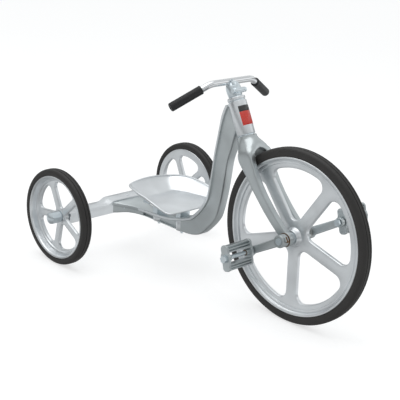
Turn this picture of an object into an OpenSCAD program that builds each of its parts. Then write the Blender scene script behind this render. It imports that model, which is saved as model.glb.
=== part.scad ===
// Children's tricycle: a cast beam frame, a front wheel driven straight by its
// cranks, and two free rear wheels on a fixed axle beam.
// The origin is on the floor under the middle of the overall box.
// +Z is up, the front wheel is towards -Y and the rider's right towards -X.

/* [Layout] */
// Distance between the front and rear axles
wheelbase = 720; // [640:1:820]
// Distance between the middles of the rear wheels
rear_track = 560; // [470:1:660]
// Lean of the steering axis from upright, in degrees
head_lean = 28; // [20:1:33]
// Distance of the front axle ahead of the steering axis
fork_offset = 75; // [55:1:85]

/* [Wheels] */
// Front wheel diameter over its tyre
front_wheel_d = 508; // [430:1:590]
// Rear wheel diameter over its tyre
rear_wheel_d = 304; // [260:1:360]
// Width of every tyre
tyre_w = 35; // [28:1:40]
// Radial height of the front tyre
front_tyre_h = 26; // [18:1:34]
// Radial height of the rear tyres
rear_tyre_h = 21; // [16:1:28]
// Radial height of the front rim band
front_band_h = 31; // [22:1:38]
// Radial height of the rear rim band
rear_band_h = 23; // [16:1:28]
// Thickness of the spoked web
web_t = 13; // [9:1:16]
// Width of a front spoke
front_spoke_w = 30; // [22:1:38]
// Width of a rear spoke
rear_spoke_w = 20; // [15:1:26]
// Turn of the first front spoke above straight ahead, in degrees
front_spoke_turn = 57; // [0:1:72]
// Turn of the first rear spoke above straight ahead, in degrees
rear_spoke_turn = 44; // [0:1:72]
// How far the rear web sits inside the middle of its wheel
rear_dish = 12; // [6:1:12]

/* [Head and fork] */
// Length of the head tube
head_tube_l = 100; // [80:1:130]
// Outer diameter of the head tube
head_tube_d = 54; // [48:1:62]
// Diameter of the steerer
steerer_d = 28; // [22:1:30]
// Space between the front tyre and the fork crown
tyre_gap = 8; // [5:1:20]
// Height of the fork crown and its neck
crown_h = 47; // [42:1:60]
// Space between the fork legs under the crown
fork_gap = 52; // [48:1:64]
// Thickness of a fork leg
leg_t = 22; // [18:1:26]
// Width of a fork leg seen from the side
leg_w = 32; // [28:1:38]

/* [Handlebar] */
// Diameter of the handlebar tube
bar_d = 19; // [16:1:22]
// Height of the bar above the head tube, along the steering axis
bar_rise = 60; // [55:1:80]
// Half length of the straight middle of the bar
bar_mid = 70; // [55:1:100]
// Turn of each bar end towards the rider, in degrees
bar_sweep = 33; // [20:1:50]
// Drop of the bar ends from square to the steering axis, in degrees
bar_drop = 30; // [0:1:45]
// Radius of the bar's bends
bar_bend_r = 50; // [35:1:70]
// Length of each straight bar end
bar_arm = 120; // [112:1:160]
// Length of a grip
grip_l = 104; // [80:1:108]
// Diameter of a grip
grip_d = 26; // [24:1:32]

/* [Frame] */
// Lean of the front face of the frame's leg, in degrees
leg_front_lean = 9.5; // [6:0.5:14]
// Lean of the rear face of the frame's leg, in degrees
leg_rear_lean = 7.2; // [5:0.1:10]
// Width of the frame beam
beam_w = 36; // [30:1:44]
// Width of the flange along the rear and top of the beam
flange_w = 50; // [44:1:60]
// Thickness of that flange
flange_t = 12; // [8:1:16]
// Outside radius of the lower bend
bend_outer_r = 150; // [120:1:170]
// Inside radius of the lower bend
bend_inner_r = 110; // [90:1:130]

/* [Rear axle] */
// Depth of the axle beam, front to back
axle_beam_l = 46; // [38:1:56]
// Height of the axle beam
axle_beam_h = 37; // [32:1:44]
// Diameter of the rear axle
rear_axle_d = 16; // [12:1:18]
// Length of a cap nut
cap_nut_l = 40; // [30:1:50]

/* [Seat] */
// Greatest width of the seat pan
seat_w = 262; // [230:1:300]
// Length of the seat pan, front to back
seat_l = 233; // [200:1:240]
// Depth of the seat pan
seat_depth = 37; // [25:1:50]
// Thickness of the seat pan
seat_t = 4; // [3:0.5:5]
// Height of the seat's underside above the rear axle
seat_rise = 65; // [58:1:80]
// Distance of the seat's front edge ahead of the rear axle
seat_reach = 328; // [320:1:336]

/* [Cranks and pedals] */
// Distance from the front axle to a pedal's spindle
crank_l = 105; // [85:1:120]
// Droop of the rearward crank, in degrees
crank_turn = 31; // [0:1:90]
// Diameter of the crank axle
crank_axle_d = 20; // [16:1:22]
// Diameter of a pedal spindle
spindle_d = 12; // [10:1:14]
// Length of a crank's boss along the axle
crank_boss_l = 23.5; // [16:0.5:28]
// How far each crank leans outwards at its pedal end
crank_splay = 24.5; // [12:0.5:30]
// Length of a pedal between its outer faces
pedal_l = 98; // [80:1:120]
// Height of a pedal's tread plates
pedal_h = 72; // [60:1:90]
// Tilt of the pedals from upright, in degrees
pedal_tilt = 13; // [-90:1:90]

/* [Hidden] */

$fn = 96;
fit = 0.05;          // radial clearance of a shaft that turns in its bush
play = 0.3;          // end clearance between pieces that turn past each other
spokes = 5;
cast_grey = [0.70, 0.72, 0.74];
zinc = [0.72, 0.78, 0.84];
bronze = [0.42, 0.31, 0.20];
rubber_black = [0.12, 0.12, 0.12];

front_r = front_wheel_d / 2;
rear_r = rear_wheel_d / 2;
front_y = (front_r - rear_r - wheelbase) / 2;   // centres the overall box on the origin
rear_y = front_y + wheelbase;
steer_foot = [0, front_y + fork_offset * cos(head_lean), front_r - fork_offset * sin(head_lean)];

// Heights along the steering axis, from the foot of the front axle
crown_z = front_r + tyre_gap;
neck_z = crown_z + crown_h;
race_t = 3;
bush_flange_t = 3;
head_z = neck_z + race_t + play + bush_flange_t;
head_top_z = head_z + head_tube_l;
collar_z = head_top_z + bush_flange_t + play;
collar_h = 9;
stem_z = collar_z + collar_h + 1;
bar_z = head_top_z + bar_rise;
bush_wall = 3;
neck_r = head_tube_d / 2;

// Stations across the front hub, out from the middle
fork_in = fork_gap / 2;
fork_out = fork_in + leg_t - 3;
hub_half = fork_in - 7;
crank_in = fork_out + 2 + play;
crank_out = crank_in + crank_boss_l;
crank_t = 12;
pinch_x = (crank_in + crank_out) / 2;
crank_end_in = crank_in + crank_splay;
crank_end_out = crank_end_in + crank_t;
nut_seat = 2;            // how far the pedal boss stands proud for its nut
pedal_in = crank_end_out + 2;
pedal_out = pedal_in + pedal_l;
front_hub_r = 25;
fork_end_r = 21;
crank_end_r = 18.5;
pedal_end_r = 14;
pedal_plate_t = 7;
pedal_barrel_r = 10;
pedal_bush_l = 18;

// Stations across a rear hub, out from the middle
web_x = rear_track / 2 - rear_dish;
rear_hub_r = 20;
rear_hub_in_l = 16;
rear_hub_out_l = 8;
rear_hub_in = web_x - rear_hub_in_l;
rear_hub_out = web_x + rear_hub_out_l;
washer_t = 2;
cap_nut_x = rear_hub_out + play + washer_t;
beam_half = rear_hub_in - washer_t - play;
cap_nut_r = 19.5;

// Frame side profile, as [y, z]
head_low = [steer_foot[1] + head_z * sin(head_lean), steer_foot[2] + head_z * cos(head_lean)];
beam_front_y = rear_y - 20;
tail_floor = rear_r - 19;
tail_top = rear_r + 5.5;
leg_front_top = [head_low[0] + 30, head_low[1]];
leg_rear_top = [head_low[0] + 84, head_low[1] + 60];
head_back = [head_low[0] + 45, head_low[1] + 81];
tail_knee = [rear_y - 215, tail_top];
tail_slope = 18.7;
tail_end_y = beam_front_y;
flange_x = 66;                                  // half width of the tail's end plate
plate_t = 12;                                   // thickness of that plate
beam_bolt_x = [-46, 46];
beam_bolt_z = rear_r - 4;
boss_y = [rear_y - seat_reach + 60, rear_y - 162];
boss_r = 8;
bolt_r = 4;

// The point where a line through p at angle a meets a line through q at angle b
function meet(p, a, q, b) =
    let (d = cos(a) * sin(b) - sin(a) * cos(b),
         t = ((q[0] - p[0]) * sin(b) - (q[1] - p[1]) * cos(b)) / d)
    [p[0] + t * cos(a), p[1] + t * sin(a)];

// Points of an arc, both ends included
function arc(c, r, a0, a1, n) =
    [for (i = [0:n]) let (a = a0 + (a1 - a0) * i / n) [c[0] + r * cos(a), c[1] + r * sin(a)]];

// Points that round the corner q of the line p, q, s to radius r
function rounded(p, q, s, r, n) =
    let (u = (p - q) / norm(p - q),
         v = (s - q) / norm(s - q),
         half = acos(u * v) / 2,
         c = q + (u + v) / norm(u + v) * r / sin(half),
         a0 = atan2(-(c - q - u * r / tan(half))[1], -(c - q - u * r / tan(half))[0]),
         a1 = atan2(-(c - q - v * r / tan(half))[1], -(c - q - v * r / tan(half))[0]),
         turn = (a1 - a0 + 540) % 360 - 180)
    arc(c, r, a0, a0 + turn, n);

// Outline of the opening between two spokes, first spoke along +X
function spoke_window(outer, inner, w, f, g) =
    let (step = 360 / spokes,
         ao = asin((w / 2 + f) / (outer - f)),
         ai = asin((w / 2 + g) / (inner + g)),
         co = (outer - f) * [cos(ao), sin(ao)],
         ci = (inner + g) * [cos(ai), sin(ai)],
         co2 = (outer - f) * [cos(step - ao), sin(step - ao)],
         ci2 = (inner + g) * [cos(step - ai), sin(step - ai)])
    concat(arc(ci, g, 180 + ai, 270, 6),
           arc(co, f, -90, ao, 8),
           arc([0, 0], outer, ao, step - ao, 14),
           arc(co2, f, step - ao, step + 90, 8),
           arc(ci2, g, step + 90, step + 180 - ai, 6),
           arc([0, 0], inner, step - ai, ai, 6));

// A side view drawn as [y, z], given a width across the tricycle
module across(w) {
    rotate([90, 0, 90]) linear_extrude(w, center = true) children();
}

// A round bar across the tricycle from x0 to x1
module cross_bar(r, x0, x1) {
    translate([x0, 0, 0]) rotate([0, 90, 0]) cylinder(r = r, h = x1 - x0);
}

module steer_frame() {
    translate(steer_foot) rotate([-head_lean, 0, 0]) children();
}

module at_front_axle() {
    translate([0, front_y, front_r]) children();
}

module at_rear_axle() {
    translate([0, rear_y, rear_r]) children();
}

// side is 1 for the left of the tricycle and -1 for its right
module on_side(side) {
    if (side > 0) children();
    else mirror([1, 0, 0]) children();
}

// Puts +Y along a crank, with the left crank opposite the right one
module along_crank(side) {
    at_front_axle() rotate([-crank_turn + (side > 0 ? 180 : 0), 0, 0]) on_side(side) children();
}

module at_pedal(side) {
    at_front_axle()
        rotate([-crank_turn + (side > 0 ? 180 : 0), 0, 0])
            translate([0, crank_l, 0])
                rotate([crank_turn - (side > 0 ? 180 : 0) - pedal_tilt, 0, 0]) on_side(side) children();
}

// ---- frame ----

module beam_side() {
    low_corner = meet(leg_front_top, -90 + leg_front_lean, [0, tail_floor], 0);
    rear_corner = meet(leg_rear_top, -90 + leg_rear_lean, tail_knee, 180 - tail_slope);
    polygon(concat(
        [leg_front_top],
        rounded(leg_front_top, low_corner, [tail_end_y, tail_floor], bend_outer_r, 24),
        [[tail_end_y, tail_floor], [tail_end_y, tail_top]],
        rounded([tail_end_y, tail_top], tail_knee, rear_corner, 500, 8),
        rounded(tail_knee, rear_corner, leg_rear_top, bend_inner_r, 20),
        rounded(rear_corner, leg_rear_top, head_back, 30, 6),
        [head_back]));
}

// The band of the side view that lies along its rear and top edges
module flange_side() {
    intersection() {
        beam_side();
        difference() {
            translate([-wheelbase, 0]) square([2 * wheelbase, 2 * wheelbase]);
            translate([-flange_t * cos(leg_rear_lean), -flange_t]) beam_side();
        }
        translate([head_low[0] + 30, 0]) square([tail_end_y - head_low[0] - 30, head_low[1] + 60]);
    }
}

module tail_pocket() {
    pocket_l = boss_y[1] - boss_y[0] - 2 * boss_r - 4;
    floor_t = 6;
    depth = (beam_w - 16) / 2;
    for (side = [-1, 1])
        translate([side * (beam_w - depth) / 2 + side * 0.5, boss_y[0] + boss_r + 2 + pocket_l / 2,
                   tail_floor + floor_t + 9])
            cube([depth + 1, pocket_l, 18], center = true);
}

module main_frame() {
    color(cast_grey)
    difference() {
        union() {
            across(beam_w) beam_side();
            across(flange_w) flange_side();
            steer_frame() translate([0, 0, head_z]) cylinder(r = neck_r, h = head_tube_l);
            for (y = boss_y)
                translate([0, y, tail_floor + 1]) cylinder(r = beam_w / 2 + 3, h = 17);
            translate([-flange_x, tail_end_y - plate_t, tail_floor])
                cube([2 * flange_x, plate_t, rear_r + 12 - tail_floor]);
            translate([0, tail_end_y - plate_t + 0.5, tail_floor + 5])
                linear_extrude(18)
                    polygon([[-flange_x + 8, 0], [flange_x - 8, 0],
                             [beam_w / 2 - 2, -45], [-beam_w / 2 + 2, -45]]);
        }
        steer_frame() translate([0, 0, head_z - 1]) cylinder(d = steerer_d + 2 * bush_wall, h = head_tube_l + 2);
        tail_pocket();
        for (y = boss_y)
            translate([0, y, 0]) cylinder(r = bolt_r + fit, h = head_low[1]);
        for (x = beam_bolt_x)
            translate([x, tail_end_y + 1, beam_bolt_z]) rotate([90, 0, 0]) {
                cylinder(r = bolt_r + fit, h = 60);
                translate([0, 0, plate_t + 1]) cylinder(r = 9, h = 60);
            }
    }
}

module head_bush() {
    difference() {
        union() {
            cylinder(d = steerer_d + 2 * bush_wall, h = 18);
            translate([0, 0, -bush_flange_t]) cylinder(r = neck_r - 3, h = bush_flange_t);
        }
        translate([0, 0, -bush_flange_t - 1]) cylinder(d = steerer_d + 2 * fit, h = 24);
    }
}

module upper_head_bush() {
    color(zinc) steer_frame() translate([0, 0, head_top_z]) mirror([0, 0, 1]) head_bush();
}

module lower_head_bush() {
    color(zinc) steer_frame() translate([0, 0, head_z]) head_bush();
}

// A thin plate wrapped round the front of the head tube
module head_badge() {
    badge_t = 0.8;
    badge_h = 57;
    half_wrap = 52;
    color([0.75, 0.12, 0.1])
    steer_frame() translate([0, 0, head_z + 26])
        rotate([0, 0, -90 - half_wrap])
            rotate_extrude(angle = 2 * half_wrap)
                translate([neck_r, 0]) square([badge_t, badge_h]);
}

// ---- rear axle ----

module rear_axle_beam() {
    top = 12;
    centre_half = 74;
    color(cast_grey)
    difference() {
        union() {
            at_rear_axle() translate([-beam_half, -20, top - axle_beam_h])
                cube([2 * beam_half, axle_beam_l, axle_beam_h]);
            at_rear_axle() rotate([90, 0, 0]) translate([0, 0, 20 - axle_beam_l])
                linear_extrude(axle_beam_l)
                    polygon([[-centre_half - 26, top - 1], [-centre_half, top + 8], [-centre_half + 16, top + 11],
                             [centre_half - 16, top + 11], [centre_half, top + 8], [centre_half + 26, top - 1]]);
            for (side = [-1, 1])
                at_rear_axle() on_side(side) cross_bar(rear_axle_d, beam_half - 24, beam_half);
        }
        for (side = [-1, 1])
            at_rear_axle() on_side(side) cross_bar(rear_axle_d / 2, beam_half - stub_l, beam_half + 1);
        for (x = beam_bolt_x)
            translate([x, rear_y + 60, beam_bolt_z]) rotate([90, 0, 0]) cylinder(r = bolt_r + fit, h = 120);
        for (side = [-1, 1])
            at_rear_axle()
                translate([side * (beam_half + centre_half + 20) / 2, 3, top - axle_beam_h - 1])
                    translate([0, 0, 6]) cube([beam_half - centre_half - 76, axle_beam_l - 14, 14], center = true);
    }
}

module hex_head(h, af) {
    cylinder(d = af / cos(30), h = h, $fn = 6);
}

module beam_bolts() {
    color(zinc)
    for (x = beam_bolt_x)
        translate([x, tail_end_y - plate_t - 5.5, beam_bolt_z]) rotate([-90, 0, 0]) {
            hex_head(5.5, 13);
            cylinder(r = bolt_r, h = plate_t + axle_beam_l + 5.5 + 10);
        }
}

module beam_nuts() {
    color(zinc)
    for (x = beam_bolt_x)
        translate([x, rear_y - 20 + axle_beam_l, beam_bolt_z]) rotate([-90, 0, 0])
            difference() {
                hex_head(7, 13);
                translate([0, 0, -1]) cylinder(r = bolt_r + fit, h = 9);
            }
}

stub_l = 70;             // how far each stub axle goes into the beam

module stub_axles() {
    color(zinc) at_rear_axle()
        for (side = [-1, 1])
            on_side(side) cross_bar(rear_axle_d / 2, beam_half - stub_l, cap_nut_x + 20);
}

module axle_washers() {
    color(zinc)
    at_rear_axle()
        for (x = [beam_half, rear_hub_out + play])
            for (side = [-1, 1])
                on_side(side)
                    difference() {
                        cross_bar(15, x, x + washer_t);
                        cross_bar(rear_axle_d / 2 + fit, x - 1, x + washer_t + 1);
                    }
}

// A hexagonal cap nut with a low domed end
module cap_nut(side) {
    dome_r = cap_nut_r * 1.35;
    color(zinc)
    at_rear_axle() on_side(side) translate([cap_nut_x, 0, 0]) rotate([0, 90, 0])
        difference() {
            intersection() {
                rotate([0, 0, 15]) cylinder(r = cap_nut_r, h = cap_nut_l, $fn = 6);
                rotate_extrude()
                    polygon(concat([[0, 0], [cap_nut_r - 1.5, 0], [cap_nut_r, 1.5]],
                                   arc([0, cap_nut_l - dome_r], dome_r, 43, 90, 14)));
            }
            translate([0, 0, -1]) cylinder(r = rear_axle_d / 2 + fit, h = 22);
        }
}

module cap_nut_right() {
    cap_nut(-1);
}

module cap_nut_left() {
    cap_nut(1);
}

// ---- seat ----

seat_y = rear_y - seat_reach + seat_l / 2;
seat_z = rear_r + seat_rise;

function ease(a, b, x) =
    let (t = min(1, max(0, (x - a) / (b - a)))) t * t * (3 - 2 * t);

// Distance of the pan's edge from its middle; a is 0 straight ahead, 180 straight back
function seat_edge(a) =
    let (n = a < 90 ? 5.2 : 2.5,
         c = abs(cos(a)) / (seat_l / 2),
         s = abs(sin(a)) / (seat_w / 2))
    pow(pow(c, n) + pow(s, n), -1 / n);

// Height of the pan's edge above its floor
function seat_rim(a) =
    (seat_depth - 7) * ease(44, 84, a) + 7 * ease(80, 125, a);

// How far out the flat floor reaches, as part of the way to the edge
function seat_crease(a) = 0.78 - 0.12 * ease(50, 90, a) - 0.21 * ease(90, 175, a);

// One ring of points round the pan: part 0 is at the crease and 1 at the edge
function seat_ring(part, drop) =
    [for (i = [0:47])
        let (t = i * 7.5,
             a = t > 180 ? 360 - t : t,
             r = seat_edge(a) * (seat_crease(a) + (1 - seat_crease(a)) * part))
        [r * sin(t), -r * cos(t), seat_rim(a) * max(0, part) - drop]];

module seat_pan() {
    steps = [-0.9, 0, 0.35, 0.7, 1];
    n = 48;
    rings = concat([for (part = steps) seat_ring(part, 0)],
                   [for (k = [len(steps) - 1:-1:0]) seat_ring(steps[k], seat_t)]);
    pts = [for (ring = rings) for (p = ring) p];
    last = len(rings) - 1;
    side_faces = [for (k = [0:last - 1]) for (i = [0:n - 1])
        [k * n + i, k * n + (i + 1) % n, (k + 1) * n + (i + 1) % n, (k + 1) * n + i]];
    color(cast_grey) translate([0, seat_y, seat_z + seat_t])
        polyhedron(pts, concat([[for (i = [n - 1:-1:0]) i]], side_faces,
                               [[for (i = [0:n - 1]) last * n + i]]));
}

module seat_bracket(y, foot_z) {
    half = 60;
    depth = 28;
    t = 4;
    color(zinc) translate([0, y, 0])
    difference() {
        union() {
            translate([-half, -depth / 2, seat_z - t]) cube([2 * half, depth, t]);
            for (x = [-half, half - t])
                translate([x, -depth / 2, seat_z - 16]) cube([t, depth, 14]);
            translate([-flange_w / 2 + 5, -depth / 2 + 4, foot_z]) cube([flange_w - 10, depth - 8, seat_z - foot_z - 1]);
        }
        translate([0, 0, foot_z - 1]) cylinder(r = bolt_r + fit, h = seat_z - foot_z + 2);
    }
}

// Top of the tail under the front seat bracket
front_foot_z = tail_knee[1] + (tail_knee[0] - boss_y[0] + 15) * tan(tail_slope) - 8;

module front_seat_bracket() {
    difference() {
        seat_bracket(boss_y[0], front_foot_z - 8);
        across(flange_w + 2) beam_side();
    }
}

module rear_seat_bracket() {
    difference() {
        seat_bracket(boss_y[1], tail_top - 4);
        across(flange_w + 2) beam_side();
    }
}

module seat_bolts() {
    color(zinc)
    for (y = boss_y)
        translate([0, y, tail_floor - 12]) cylinder(r = bolt_r, h = seat_z - tail_floor + 12);
}

module seat_nuts() {
    color(zinc)
    for (y = boss_y)
        translate([0, y, tail_floor - 7])
            difference() {
                hex_head(7, 13);
                translate([0, 0, -1]) cylinder(r = bolt_r + fit, h = 9);
            }
}

// ---- steering ----

// The fork seen from the side, as [y, z] from the foot of the front axle.
// Each station is [how far up to the crown, how far the leg has come back from
// the axle, how wide it is], all as fractions but the last one, in millimetres.
leg_stations = [[0, 0, leg_w], [0.12, 0.25, leg_w - 4], [0.24, 0.40, leg_w - 3], [0.36, 0.55, leg_w - 2],
                [0.51, 0.70, leg_w - 1], [0.64, 0.80, leg_w], [0.78, 0.87, leg_w + 1], [0.9, 0.93, leg_w + 4]];

function leg_y(k) = -fork_offset * (1 - leg_stations[k][1]);

module fork_side() {
    n = len(leg_stations);
    top_y = leg_y(n - 1);
    polygon(concat(
        [for (k = [0:n - 1]) [leg_y(k) + leg_stations[k][2] / 2, crown_z * leg_stations[k][0]]],
        [[top_y + leg_w / 2 + 5, crown_z - 4], [top_y + leg_w / 2 + 2, crown_z + 12],
         [20, neck_z - 8], [-24, neck_z - 8], [top_y - leg_w / 2 - 5, crown_z]],
        [for (k = [n - 1:-1:0]) [leg_y(k) - leg_stations[k][2] / 2, crown_z * leg_stations[k][0]]]));
}

// The fork seen from the front, as [x, z]
module fork_front() {
    top_in = fork_gap / 2;
    top_out = top_in + leg_t;
    difference() {
        polygon([[-neck_r, neck_z], [-neck_r - 2, neck_z - 10], [-top_out, crown_z],
                 [-top_out - 1, crown_z - 20], [-fork_out, fork_end_r + 4], [-fork_out, -40],
                 [fork_out, -40], [fork_out, fork_end_r + 4], [top_out + 1, crown_z - 20], [top_out, crown_z],
                 [neck_r + 2, neck_z - 10], [neck_r, neck_z]]);
        polygon(concat(arc([0, crown_z - top_in + 4], top_in, 0, 180, 24),
                       [[-fork_in, -70], [fork_in, -70]]));
    }
}

module fork() {
    color(cast_grey)
    steer_frame()
    difference() {
        union() {
            intersection() {
                across(4 * fork_out) fork_side();
                rotate([90, 0, 0]) linear_extrude(4 * fork_offset, center = true) fork_front();
            }
            translate([0, 0, neck_z - 22]) cylinder(r = neck_r, h = 22);
            for (side = [-1, 1])
                on_side(side) translate([0, -fork_offset, 0]) cross_bar(fork_end_r, fork_in, fork_out);
        }
        translate([0, 0, crown_z + 12]) cylinder(d = steerer_d, h = crown_h);
        translate([0, -fork_offset, 0]) cross_bar(crank_axle_d / 2 + bush_wall, -fork_out - 1, fork_out + 1);
    }
}

module steerer() {
    color(zinc) steer_frame() translate([0, 0, crown_z + 12])
        cylinder(d = steerer_d, h = bar_z - bar_d / 2 - 4 - crown_z - 12);
}

module ring(r_out, r_in, h) {
    difference() {
        cylinder(r = r_out, h = h);
        translate([0, 0, -1]) cylinder(r = r_in, h = h + 2);
    }
}

module crown_race() {
    color(zinc) steer_frame() translate([0, 0, neck_z]) ring(neck_r - 1, steerer_d / 2 + fit, race_t);
}

module head_collar() {
    color(cast_grey) steer_frame() translate([0, 0, collar_z]) ring(neck_r - 1, steerer_d / 2 + fit, collar_h);
}

bar_screw_at = [-10, -14.5];     // the screw stands beside the bar
pinch_y = -steerer_d / 2 - bolt_r - 0.5;   // where the stem is pinched on the steerer
pinch_z = stem_z + 15;
pinch_half = 20;

module stem() {
    lower_r = 20;
    upper_r = 22;
    top = bar_z;
    color(zinc)
    steer_frame()
    difference() {
        union() {
            translate([0, 0, stem_z]) cylinder(r1 = lower_r, r2 = upper_r, h = 12);
            translate([0, 0, stem_z + 12]) cylinder(r = upper_r, h = top - stem_z - 20);
            translate([0, 0, top - 8]) cylinder(r1 = upper_r, r2 = 16, h = 7);
            translate([0, pinch_y, pinch_z]) cross_bar(8, -pinch_half, pinch_half);
        }
        translate([0, 0, stem_z - 1]) cylinder(d = steerer_d + 2 * fit, h = bar_z - bar_d / 2 - 4 - stem_z + 2);
        translate([0, 0, bar_z]) cross_bar(bar_d / 2 + fit, -60, 60);
        translate([0, pinch_y, pinch_z]) cross_bar(bolt_r + fit, -60, 60);
        translate([bar_screw_at[0], bar_screw_at[1], bar_z - 13]) cylinder(r = 2.5 + fit, h = 40);
        translate([-1.5, -upper_r - 6, stem_z - 1]) cube([3, 16, top - stem_z + 2]);
    }
}

module stem_bolt() {
    color(zinc) steer_frame() translate([0, pinch_y, pinch_z])
        union() {
            cross_bar(bolt_r, -pinch_half - 1, pinch_half + 9);
            translate([-pinch_half - 5, 0, 0]) rotate([0, 90, 0]) hex_head(5, 13);
        }
}

module stem_nut() {
    color(zinc) steer_frame() translate([pinch_half, pinch_y, pinch_z]) rotate([0, 90, 0])
        difference() {
            hex_head(7, 13);
            translate([0, 0, -1]) cylinder(r = bolt_r + fit, h = 9);
        }
}

module bar_screw() {
    color(zinc) steer_frame() translate([bar_screw_at[0], bar_screw_at[1], bar_z - 12])
        union() {
            cylinder(r = 2.5, h = 11.5);
            translate([0, 0, 11]) cylinder(r = 4, h = 4);
        }
}

grip_seat_r = bar_d / 2 - 0.3;   // the bar is turned down a little where the grips go

// The frame of the handlebar: its bends lie in this frame's XY plane
module bar_frame() {
    steer_frame() translate([0, 0, bar_z]) rotate([-bar_drop, 0, 0]) children();
}

// Puts +X along one straight end of the bar, from the end of its bend
module along_bar(side) {
    bar_frame() on_side(side)
        translate([bar_mid + bar_bend_r * sin(bar_sweep), bar_bend_r * (1 - cos(bar_sweep)), 0])
            rotate([0, 0, bar_sweep]) children();
}

module handlebar() {
    color([0.88, 0.89, 0.9])
    union() {
        bar_frame() cross_bar(bar_d / 2, -bar_mid, bar_mid);
        for (side = [-1, 1]) {
            bar_frame() on_side(side)
                translate([bar_mid, bar_bend_r, 0]) rotate([0, 0, -90])
                    rotate_extrude(angle = bar_sweep) translate([bar_bend_r, 0]) circle(d = bar_d);
            along_bar(side) cross_bar(grip_seat_r, -4, bar_arm - 5);
        }
    }
}

module grip(side) {
    color(rubber_black)
    along_bar(side)
        difference() {
            union() {
                cross_bar(grip_d / 2, bar_arm - grip_l, bar_arm - 1.5);
                cross_bar(grip_d / 2 - 2, bar_arm - 1.5, bar_arm);
                cross_bar(grip_d / 2 + 1, bar_arm - grip_l, bar_arm - grip_l + 4);
            }
            cross_bar(grip_seat_r + fit, bar_arm - grip_l - 1, bar_arm - 4.9);
            cross_bar(4, bar_arm - 6, bar_arm + 1);
        }
}

module grip_right() {
    grip(-1);
}

module grip_left() {
    grip(1);
}

module fork_bush(side) {
    color(bronze)
    at_front_axle() on_side(side)
        difference() {
            union() {
                cross_bar(crank_axle_d / 2 + bush_wall, fork_in, fork_out);
                cross_bar(fork_end_r - 1, fork_out, fork_out + 2);
            }
            cross_bar(crank_axle_d / 2 + fit, fork_in - 1, fork_out + 3);
        }
}

module fork_bush_right() {
    fork_bush(-1);
}

module fork_bush_left() {
    fork_bush(1);
}

// ---- wheels ----

// Rim section as [radius, x], stepped down from the tyre seat to the web
function rim_section(outer, band, half) =
    let (inner = outer - band)
    [[inner, -web_t / 2], [inner + 6, -web_t / 2 - 2], [inner + band * 0.45, -web_t / 2 - 3],
     [inner + band * 0.52, -half + 4], [outer - 4, -half + 3], [outer - 3, -half + 0.5], [outer, -half + 0.5],
     [outer, half - 0.5], [outer - 3, half - 0.5], [outer - 4, half - 3], [inner + band * 0.52, half - 4],
     [inner + band * 0.45, web_t / 2 + 3], [inner + 6, web_t / 2 + 2], [inner, web_t / 2]];

// A spoked casting that turns about X; its rim lies at dish from its web
module wheel_casting(outer, band, hub_r, hub_in, hub_out, bore_r, spoke_w, turn, dish) {
    inner = outer - band;
    window_r = inner - 2;
    difference() {
        union() {
            translate([dish, 0, 0]) rotate([0, 90, 0])
                rotate_extrude($fn = 160) polygon(rim_section(outer, band, tyre_w / 2));
            cross_bar(inner + 2, -web_t / 2, web_t / 2);
            cross_bar(hub_r, -hub_in, hub_out);
        }
        for (i = [0:spokes - 1])
            rotate([-turn + i * 360 / spokes, 0, 0])
                across(web_t + 8)
                    mirror([1, 0, 0])
                        polygon(spoke_window(window_r, hub_r * 1.9, spoke_w, inner * 0.13, inner * 0.06));
        cross_bar(bore_r, -hub_in - 1, hub_out + 1);
    }
}

module front_wheel() {
    color(cast_grey) at_front_axle()
        wheel_casting(front_r - front_tyre_h, front_band_h, front_hub_r, hub_half, hub_half,
                      crank_axle_d / 2, front_spoke_w, front_spoke_turn, 0);
}

// Tyre section as [radius, x]: square shoulders, a low crown and two tread lines
function tyre_section(outer, h) =
    let (half = tyre_w / 2,
         k = 7,
         groove = 1.4)
    concat([[outer - h, -half + 1.5], [outer - h + 3, -half]],
           arc([outer - k - 0.6, -half + k], k, -90, -20, 5),
           [[outer - 0.3, -7], [outer - groove, -6.2], [outer - groove, -5.2], [outer, -4.4],
            [outer, 4.4], [outer - groove, 5.2], [outer - groove, 6.2], [outer - 0.3, 7]],
           arc([outer - k - 0.6, half - k], k, 20, 90, 5),
           [[outer - h + 3, half], [outer - h, half - 1.5]]);

module hub_spacers() {
    color(zinc) at_front_axle()
        for (side = [-1, 1])
            on_side(side)
                difference() {
                    cross_bar(crank_axle_d / 2 + 5, hub_half, fork_in - play);
                    cross_bar(crank_axle_d / 2 + fit, hub_half - 1, fork_in);
                }
}

module tyre(outer, h) {
    color(rubber_black) rotate([0, 90, 0]) rotate_extrude($fn = 160) polygon(tyre_section(outer, h));
}

module front_tyre() {
    at_front_axle() tyre(front_r, front_tyre_h);
}

module at_rear_wheel(side) {
    at_rear_axle() on_side(side) translate([web_x, 0, 0]) children();
}

module rear_wheel(side) {
    color(cast_grey) at_rear_wheel(side)
        wheel_casting(rear_r - rear_tyre_h, rear_band_h, rear_hub_r, rear_hub_in_l, rear_hub_out_l,
                      rear_axle_d / 2 + bush_wall, rear_spoke_w, rear_spoke_turn, rear_dish);
}

module rear_wheel_right() {
    rear_wheel(-1);
}

module rear_wheel_left() {
    rear_wheel(1);
}

module rear_tyre_right() {
    at_rear_wheel(-1) translate([rear_dish, 0, 0]) tyre(rear_r, rear_tyre_h);
}

module rear_tyre_left() {
    at_rear_wheel(1) translate([rear_dish, 0, 0]) tyre(rear_r, rear_tyre_h);
}

module hub_bush(side) {
    color(bronze)
    at_rear_wheel(side)
        difference() {
            cross_bar(rear_axle_d / 2 + bush_wall, -rear_hub_in_l, rear_hub_out_l);
            cross_bar(rear_axle_d / 2 + fit, -rear_hub_in_l - 1, rear_hub_out_l + 1);
        }
}

module hub_bush_right() {
    hub_bush(-1);
}

module hub_bush_left() {
    hub_bush(1);
}

// ---- cranks and pedals ----

module crank_axle() {
    color(zinc) at_front_axle() cross_bar(crank_axle_d / 2, -crank_out - 2, crank_out + 2);
}

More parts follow.
